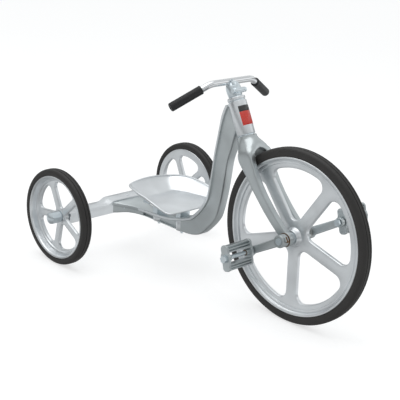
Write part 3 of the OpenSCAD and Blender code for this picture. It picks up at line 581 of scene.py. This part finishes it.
seat = {
    # (half width, y, z) round the rolled edge, from the front's middle to the back's
    "edge": [(0, 83, 221), (45, 83, 221), (85, 84, 221), (104, 88, 221.5), (114, 98, 223.5), (121, 112, 229),
             (127, 130, 238), (131, 152, 246), (129.5, 182, 251.5), (128, 215, 255.5), (121, 250, 258),
             (106, 282, 257), (82, 303, 255), (45, 313, 257), (0, 316, 258)],
    "floor": 221, "middle": 200, "thick": 4,
    # how far out the flat floor reaches, as (degrees round from straight ahead, part of the way to the edge)
    "crease": [(0, 0.80), (50, 0.80), (62, 0.75), (90, 0.65), (129, 0.58), (150, 0.49), (180, 0.45)],
}


def seatEdge():
    right = [Vector((-x, y, z)) for x, y, z in seat["edge"]]
    left = [Vector((-p.x, p.y, p.z)) for p in right[-2:0:-1]]
    loop = right + left
    n = len(loop)
    edge = []
    for i in range(n):
        a, b, c, d = loop[i - 1], loop[i], loop[(i + 1) % n], loop[(i + 2) % n]
        for k in range(4):
            t = k / 4
            edge.append(0.5 * (2 * b + (c - a) * t + (2 * a - 5 * b + 4 * c - d) * t * t
                               + (3 * b - a - 3 * c + d) * t * t * t))
    return edge


def seatRings():
    centre = Vector((0, seat["middle"], 0))
    # (part of the way from the crease to the edge, part of the edge's height) up the wall, then over the roll
    wall = [(-0.12, 0), (-0.04, 0.005), (0.03, 0.03), (0.10, 0.085), (0.3, 0.27), (0.5, 0.46), (0.7, 0.66),
            (0.84, 0.84), (0.9, 0.93), (0.93, 0.985)]
    roll = [(0.945, 2.2), (0.965, 3.4), (0.985, 3.6), (1.0, 2.6), (1.006, 0.8), (1.0, -0.8), (0.985, -1.8)]
    rings = []
    edge = seatEdge()

    def ring(part, lift, add, drop):
        row = []
        for p in edge:
            out = p - centre
            out.z = 0
            turn = abs(math.degrees(math.atan2(out.x, -out.y)))
            crease = follow(seat["crease"], turn)[0]
            u = part if add is not None else crease + (1 - crease) * part
            rise = max(p.z - seat["floor"], 0)
            z = seat["floor"] + rise * lift + (add or 0) - drop
            row.append(Vector((out.x * u, centre.y + out.y * u, z)))
        return row

    for u in (0.04, 0.2, 0.36):
        rings.append(ring(u, 0, 0, 0))
    for part, lift in wall:
        rings.append(ring(part, lift, None, 0))
    for u, add in roll:
        rings.append(ring(u, 1, add - 1.4, 0))
    for part, lift in wall[-3::-1]:
        rings.append(ring(part, lift, None, seat["thick"]))
    for u in (0.36, 0.2, 0.04):
        rings.append(ring(u, 0, 0, seat["thick"]))
    return rings


bm = bmesh.new()
skin(bm, seatRings())
addPiece("seat pan", bm, "polished_aluminium", "frame", ["seat_pan"], sharp=60)
print("seat done")

# fork

fork = {
    # (height up the steering axis, inner x, outer x, middle ahead, half depth, squareness, channel depth)
    "rings": [(312, 0, 28.5, 0, 28.5, 2, 0), (306, 0, 29, 0, 29, 2, 0), (300, 0, 30, 1, 30, 2.1, 0),
              (292, 0, 34, 3.5, 31, 2.3, 0), (284, 0, 38.5, 6, 32, 2.6, 0), (276, 0, 43, 8, 31, 3, 0),
              (270, 0, 46, 9.5, 29, 3.4, 0), (266, 10, 47.2, 10, 28.5, 3.8, 0),
              (260, 18, 48.2, 10.5, 28, 4.4, 0), (252, 23, 48.8, 11, 27.2, 5, 2),
              (242, 25.5, 49, 11.5, 26.2, 5.4, 5), (229, 26, 48.6, 12.5, 23.8, 5.4, 6),
              (197, 26, 47.6, 16.5, 19.2, 5.2, 7), (161, 26, 47, 22, 17.4, 5, 7),
              (129, 26, 46.6, 29.5, 16.4, 5, 7),
              (89, 26, 46.2, 41, 16.2, 5, 7), (61, 26, 45.8, 51, 16, 5, 7), (36, 26, 45.4, 61, 16, 5, 5),
              (18, 26, 45, 68.5, 16.5, 4.5, 1), (0, 26, 45, 75, 18, 3, 0), (-12, 26, 45, 77, 13, 2.6, 0),
              (-17.5, 27, 44, 77, 6, 2.4, 0)],
}


def power(v, n):
    return math.copysign(abs(v) ** (2 / n), v)


def forkRings(side):
    rings = []
    for up, xIn, xOut, ahead, deep, square, channel in fork["rings"]:
        split = 0 if xIn == 0 else mix(xIn, xOut, 0.5)
        if 0 < xIn < 26:
            split = mix(xIn, xOut, 0.5 * xIn / 26)
        ring = []
        for k in range(40):
            a = math.tau * k / 40
            c, s = power(math.cos(a), square), power(math.sin(a), square)
            x = split + (xOut - split) * c if c > 0 else split + (split - xIn) * c
            if c < 0 and abs(s) < 0.72:
                x += channel * ease(0.72, 0.55, abs(s))
            ring.append(onSteer(side * x, ahead + deep * s, up))
        rings.append(ring)
    return rings


bm = bmesh.new()
for side in (-1, 1):
    skin(bm, forkRings(side))
    roundedRod(bm, frontHub + Vector((side * 26, 0, 0)), frontHub + Vector((side * 45, 0, 0)), 21, 1.5, 64)
addPiece("fork", bm, "cast_aluminium", "steering", ["fork"], sharp=40)
print("fork done")

# handlebar and stem

bar = {
    "r": 9.5, "mid": 70, "bend": 50, "sweep": 33, "drop": 30, "arm": 120,
    "gripLength": 104, "ribs": 24, "grooveDeep": 0.55, "gripBore": 9.55, "endHole": 4.2,
}


def barPoint(x, back):
    # the bar lies in a plane that drops towards the rider
    drop = math.radians(bar["drop"])
    home = onSteer(0, 0, barHeight)
    return home + Vector((x, 0, 0)) + (-steerAhead * math.cos(drop) - steerUp * math.sin(drop)) * back


def barPath(side, reach):
    sweepTo = math.radians(bar["sweep"])
    path = []
    for i in range(13):
        a = sweepTo * i / 12
        path.append(barPoint(side * (bar["mid"] + bar["bend"] * math.sin(a)),
                             bar["bend"] * (1 - math.cos(a))))
    endX, endBack = bar["mid"] + bar["bend"] * math.sin(sweepTo), bar["bend"] * (1 - math.cos(sweepTo))
    path.append(barPoint(side * (endX + reach * math.cos(sweepTo)), endBack + reach * math.sin(sweepTo)))
    return path


bm = bmesh.new()
whole = barPath(-1, bar["arm"] - 5)[::-1] + barPath(1, bar["arm"] - 5)
sweep(bm, whole, bar["r"], 48)
addPiece("handlebar", bm, "chrome", "steering", ["handlebar"], sharp=60)

for side, word in ((-1, "right"), (1, "left")):
    tip = barPath(side, bar["arm"])[-1]
    inner = barPath(side, bar["arm"] - bar["gripLength"])[-1]
    along = (tip - inner).normalized()
    length = bar["gripLength"]
    a, b = sideways(along)
    bm = bmesh.new()
    bore, hole = bar["gripBore"], bar["endHole"]
    profile = [(bore, 0), (11.5, 0), (12.8, 0.6), (13.4, 2), (13.4, 3.6), (12.9, 4.6), (12.9, 5.4),
               (12.95, 7), (12.95, length - 4), (12.6, length - 2), (11.4, length - 0.5), (9.5, length),
               (hole, length), (hole, length - 4.8), (bore, length - 4.9)]
    around = bar["ribs"] * 6
    rings = []
    for r, h in profile:
        ring = []
        for k in range(around):
            w = math.tau * k / around
            groove = bar["grooveDeep"] if k % 6 < 2 and 5.2 < h < length - 1 and r > 12 else 0
            ring.append(inner + along * h + (a * math.cos(w) + b * math.sin(w)) * (r - groove))
        rings.append(ring)
    skin(bm, rings, around=True)
    addPiece(word + " grip", bm, "grip_rubber", "steering", ["grip_" + word], sharp=40)

stem = {
    "base": headTop + 13.3,
    "pinchUp": 15, "pinchAhead": 18.5, "pinchHalf": 20, "pinchR": 8,    # the cross boss of the pinch bolt
    "screwX": -10, "screwAhead": 14.5, "screwDown": 14,                 # the small boss of the bar's screw
}
bm = bmesh.new()
lathe(bm, onSteer(0, 0, stem["base"]), steerUp,
      [(14.1, 0), (18.6, 0), (19.6, 0.8), (20.2, 3), (21.4, 12), (22, 20), (21.8, 27), (20.6, 33), (18.4, 38),
       (15.4, 42.2), (11.5, 45), (6, 46.2), (3, 46.3), (3, 30), (14.1, 30)], 72, hollow=True)
ends = [onSteer(side * stem["pinchHalf"], stem["pinchAhead"], stem["base"] + stem["pinchUp"])
        for side in (-1, 1)]
roundedRod(bm, ends[0], ends[1], stem["pinchR"], 2, 40)
lathe(bm, onSteer(stem["screwX"], stem["screwAhead"], barHeight - stem["screwDown"]), steerUp,
      [(2.6, 0), (5, 0), (5, 10), (4.4, 11.4), (2.6, 11.4)], 32, hollow=True)
addPiece("stem", bm, "zinc_steel", "steering", ["stem"], sharp=40)

bm = bmesh.new()
lathe(bm, onSteer(0, 0, headTop + 3.3), steerUp,
      [(14.1, 0), (25, 0), (26, 0.8), (26.3, 2), (26.3, 7.2), (25.6, 8.6), (24, 9.2), (14.1, 9.2)],
      72, hollow=True)
addPiece("head collar", bm, "polished_aluminium", "steering", ["head_collar"], sharp=40)
print("handlebar done")

# cranks and pedals

crank = {
    "length": 105, "droop": 31, "in": 47.3, "boss": 23.5, "bossR": 18.5,
    "endIn": 71.8, "endOut": 83.8, "endR": 14,
    "armFrom": 56, "armTo": 77.8,    # middle of the arm, outwards from the wheel, at its two ends
    "lugBack": 19, "lugIn": 53, "lugWide": 12, "lugHalf": 7,    # pinch lug behind the boss
}
pedal = {
    "in": 85.8, "out": 183.8, "plate": 7, "high": 74, "deep": 26, "hubDeep": 34, "tilt": 15,
    "bars": [(-33, 9), (-25.5, 12), (-18, 12.5), (18, 12.5), (25.5, 12), (33, 9)],    # (height, half depth)
    "barThick": 4, "barrel": 17, "barrelR": 10, "barrelBore": 8.1,
}


def crankDir(side):
    a = math.radians(crank["droop"])
    d = Vector((0, math.cos(a), -math.sin(a)))
    return d if side < 0 else -d


def pedalCentre(side):
    return frontHub + crankDir(side) * crank["length"]


for side, word in ((-1, "right"), (1, "left")):
    d = crankDir(side)
    n = Vector((1, 0, 0)).cross(d)
    ex = Vector((side, 0, 0))
    bm = bmesh.new()
    r, wide = crank["bossR"], crank["boss"]
    lathe(bm, frontHub + ex * crank["in"], ex,
          [(10, 0), (r - 1.2, 0), (r, 1.2), (r, wide - 1.3), (r - 1.2, wide), (10, wide)], 64, hollow=True)
    centre = pedalCentre(side)
    roundedRod(bm, centre + ex * crank["endIn"], centre + ex * crank["endOut"], crank["endR"], 1.5, 56)
    arm = []
    for t in [i / 10 for i in range(11)]:
        along = mix(6, crank["length"] - 4, t)
        xMid = mix(crank["armFrom"], crank["armTo"], ease(0, 1, 0.1 + 0.85 * t) * 0.35 + t * 0.65)
        high, thick = mix(13, 11, t), mix(6.5, 5.2, t)
        section = []
        for k in range(24):
            a = math.tau * (k + 0.5) / 24
            out, over = thick * power(math.cos(a), 5), high * power(math.sin(a), 5)
            section.append(frontHub + d * along + ex * (xMid + out) + n * over)
        arm.append(section)
    skin(bm, arm)
    lug, half = frontHub - d * crank["lugBack"] + ex * crank["lugIn"], crank["lugHalf"]
    corners = [(half, -3), (-half, -3), (-half, 10), (half, 10)]
    prism(bm, [lug + n * p + d * q for p, q in corners], ex * crank["lugWide"])
    addPiece(word + " crank", bm, "cast_aluminium", "front_wheel", ["crank_" + word], sharp=40, soften=0.8)

    # pedal: two shaped plates with ribbed treads between them
    tilt = math.radians(pedal["tilt"])
    up = Vector((0, math.sin(tilt), math.cos(tilt)))
    ahead = Vector((0, -math.cos(tilt), math.sin(tilt)))
    bm = bmesh.new()
    high, deep, bulge = pedal["high"] / 2, pedal["deep"] / 2, pedal["hubDeep"] / 2
    outline = [(high, 6), (high - 2, 9), (high - 7, deep), (15, deep), (10, bulge - 1), (5, bulge),
               (0, bulge + 0.4)]
    outline = outline + [(-u, v) for u, v in outline[-2::-1]]
    outline = outline + [(u, -v) for u, v in outline[::-1]]
    for x in (pedal["in"], pedal["out"] - pedal["plate"]):
        prism(bm, [centre + ex * x + up * u + ahead * v for u, v in outline], ex * pedal["plate"])
    x0, x1 = pedal["in"] + 3, pedal["out"] - 3
    for u, reach in pedal["bars"]:
        low, top = u - pedal["barThick"] / 2, u + pedal["barThick"] / 2
        corners = [(low, -reach), (low, reach), (top, reach), (top, -reach)]
        prism(bm, [centre + ex * x0 + up * p + ahead * q for p, q in corners], ex * (x1 - x0))
    for sign in (-1, 1):
        # a spine holds the tread bars of each end together
        corners = [(sign * 16, -2.5), (sign * 16, 2.5), (sign * 35, 2.5), (sign * 35, -2.5)]
        prism(bm, [centre + ex * x0 + up * p + ahead * q for p, q in corners], ex * (x1 - x0))
    r, bore, long = pedal["barrelR"], pedal["barrelBore"], pedal["barrel"]
    for x in (pedal["in"] + 1, pedal["out"] - 1 - long):
        lathe(bm, centre + ex * x, ex, [(bore, 0), (r, 0), (r, long), (bore, long)], 40, hollow=True)
    addPiece(word + " pedal", bm, "cast_aluminium", word + "_pedal", ["pedal_" + word], sharp=30, soften=0.9)
print("cranks and pedals done")

# small parts kept from the frame

shown = {
    "zinc_steel": ["upper_head_bush", "lower_head_bush", "beam_bolts", "beam_nuts", "stub_axles",
                   "axle_washers", "cap_nut_right", "cap_nut_left", "front_seat_bracket",
                   "rear_seat_bracket", "seat_bolts", "seat_nuts", "steerer", "crown_race", "stem_bolt",
                   "stem_nut", "bar_screw", "hub_spacers", "crank_axle", "spindle_right", "spindle_left",
                   "spindle_nuts", "pedal_nut_right", "pedal_nut_left"],
    "bronze": ["fork_bush_right", "fork_bush_left", "crank_bolts", "pedal_bush_right", "pedal_bush_left",
               "hub_bush_right", "hub_bush_left"],
}
for look, names in shown.items():
    for nodeName in names:
        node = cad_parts[nodeName]
        node.data.materials.clear()
        node.data.materials.append(looks[look])

# floor, light and camera

floorMesh = bpy.data.meshes.new("floor")
bm = bmesh.new()
bmesh.ops.create_grid(bm, x_segments=1, y_segments=1, size=30)
bm.to_mesh(floorMesh)
bm.free()
floor = bpy.data.objects.new("floor", floorMesh)
bpy.context.collection.objects.link(floor)
pale = bpy.data.materials.new("pale floor")
pale.use_nodes = True
surface = pale.node_tree.nodes["Principled BSDF"]
surface.inputs["Base Color"].default_value = (0.55, 0.55, 0.55, 1)
surface.inputs["Roughness"].default_value = 0.9
surface.inputs["Specular IOR Level"].default_value = 0.1
surface.inputs["Emission Color"].default_value = (1, 1, 1, 1)
surface.inputs["Emission Strength"].default_value = 0.62
floorMesh.materials.append(pale)

world = bpy.data.worlds.new("studio")
world.use_nodes = True
bpy.context.scene.world = world
sky = world.node_tree
backdrop = sky.nodes["Background"]
backdrop.inputs["Strength"].default_value = 1.0
where = sky.nodes.new("ShaderNodeTexCoord")
split = sky.nodes.new("ShaderNodeSeparateXYZ")
link(sky, where.outputs["Generated"], split.inputs["Vector"])
height = sky.nodes.new("ShaderNodeMapRange")
height.inputs["From Min"].default_value = -1
height.inputs["From Max"].default_value = 1
link(sky, split.outputs["Z"], height.inputs["Value"])
shades = sky.nodes.new("ShaderNodeValToRGB")
# (height from straight down at 0 to straight up at 1, brightness): the studio as the metal sees it
stops = [(0.0, 0.22), (0.20, 0.38), (0.34, 0.68), (0.43, 0.70), (0.48, 0.15), (0.53, 0.15), (0.58, 0.52),
         (0.68, 0.68), (0.82, 0.52), (1.0, 0.72)]
ramp = shades.color_ramp
while len(ramp.elements) > 1:
    ramp.elements.remove(ramp.elements[-1])
for i, (at, level) in enumerate(stops):
    stop = ramp.elements[0] if i == 0 else ramp.elements.new(at)
    stop.position = at
    stop.color = (level * 0.965, level * 0.99, level, 1)
link(sky, height.outputs["Result"], shades.inputs["Fac"])
leftToRight = sky.nodes.new("ShaderNodeMapRange")    # the studio is brighter on the rider's left
leftToRight.inputs["From Min"].default_value = -1
leftToRight.inputs["From Max"].default_value = 1
leftToRight.inputs["To Min"].default_value = 0.90
leftToRight.inputs["To Max"].default_value = 1.2
link(sky, split.outputs["X"], leftToRight.inputs["Value"])
shaded = sky.nodes.new("ShaderNodeVectorMath")
shaded.operation = "SCALE"
link(sky, shades.outputs["Color"], shaded.inputs[0])
link(sky, leftToRight.outputs["Result"], shaded.inputs["Scale"])
link(sky, shaded.outputs["Vector"], backdrop.inputs["Color"])
floor.visible_glossy = False

lamps = [
    # name, place, aims at, size, watts
    ("overhead softbox", (-0.4, 0.6, 2.9), (0, 0, 0.25), 3.2, 30),
    ("left softbox", (2.4, -2.4, 1.5), (0, 0, 0.3), 1.8, 2),
]
for name, place, aim, size, watts in lamps:
    data = bpy.data.lights.new(name, "AREA")
    data.shape = "SQUARE"
    data.size = size
    data.energy = watts
    lamp = bpy.data.objects.new(name, data)
    lamp.location = place
    lamp.rotation_euler = (Vector(aim) - Vector(place)).to_track_quat("-Z", "Y").to_euler()
    bpy.context.collection.objects.link(lamp)

view = {"azimuth": -45.64, "elevation": 18.90, "distance": 3.0272, "target": (0, 0.0728, 0.2511),
        "roll": 3.96, "lens": 89.22}
az, el = math.radians(view["azimuth"]), math.radians(view["elevation"])
back = Vector((math.sin(az) * math.cos(el), -math.cos(az) * math.cos(el), math.sin(el)))
data = bpy.data.cameras.new("camera")
data.lens = view["lens"]
data.sensor_width = 36
camera = bpy.data.objects.new("camera", data)
bpy.context.collection.objects.link(camera)
right = (-back).cross(Vector((0, 0, 1))).normalized()
up = right.cross(-back)
roll = math.radians(view["roll"])
rightRolled = right * math.cos(roll) + up * math.sin(roll)
upRolled = up * math.cos(roll) - right * math.sin(roll)
axes = Matrix((rightRolled, upRolled, back)).transposed().to_4x4()
axes.translation = Vector(view["target"]) + back * view["distance"]
camera.matrix_world = axes
bpy.context.scene.camera = camera
bpy.context.scene.view_settings.view_transform = "Standard"

print("scene done")
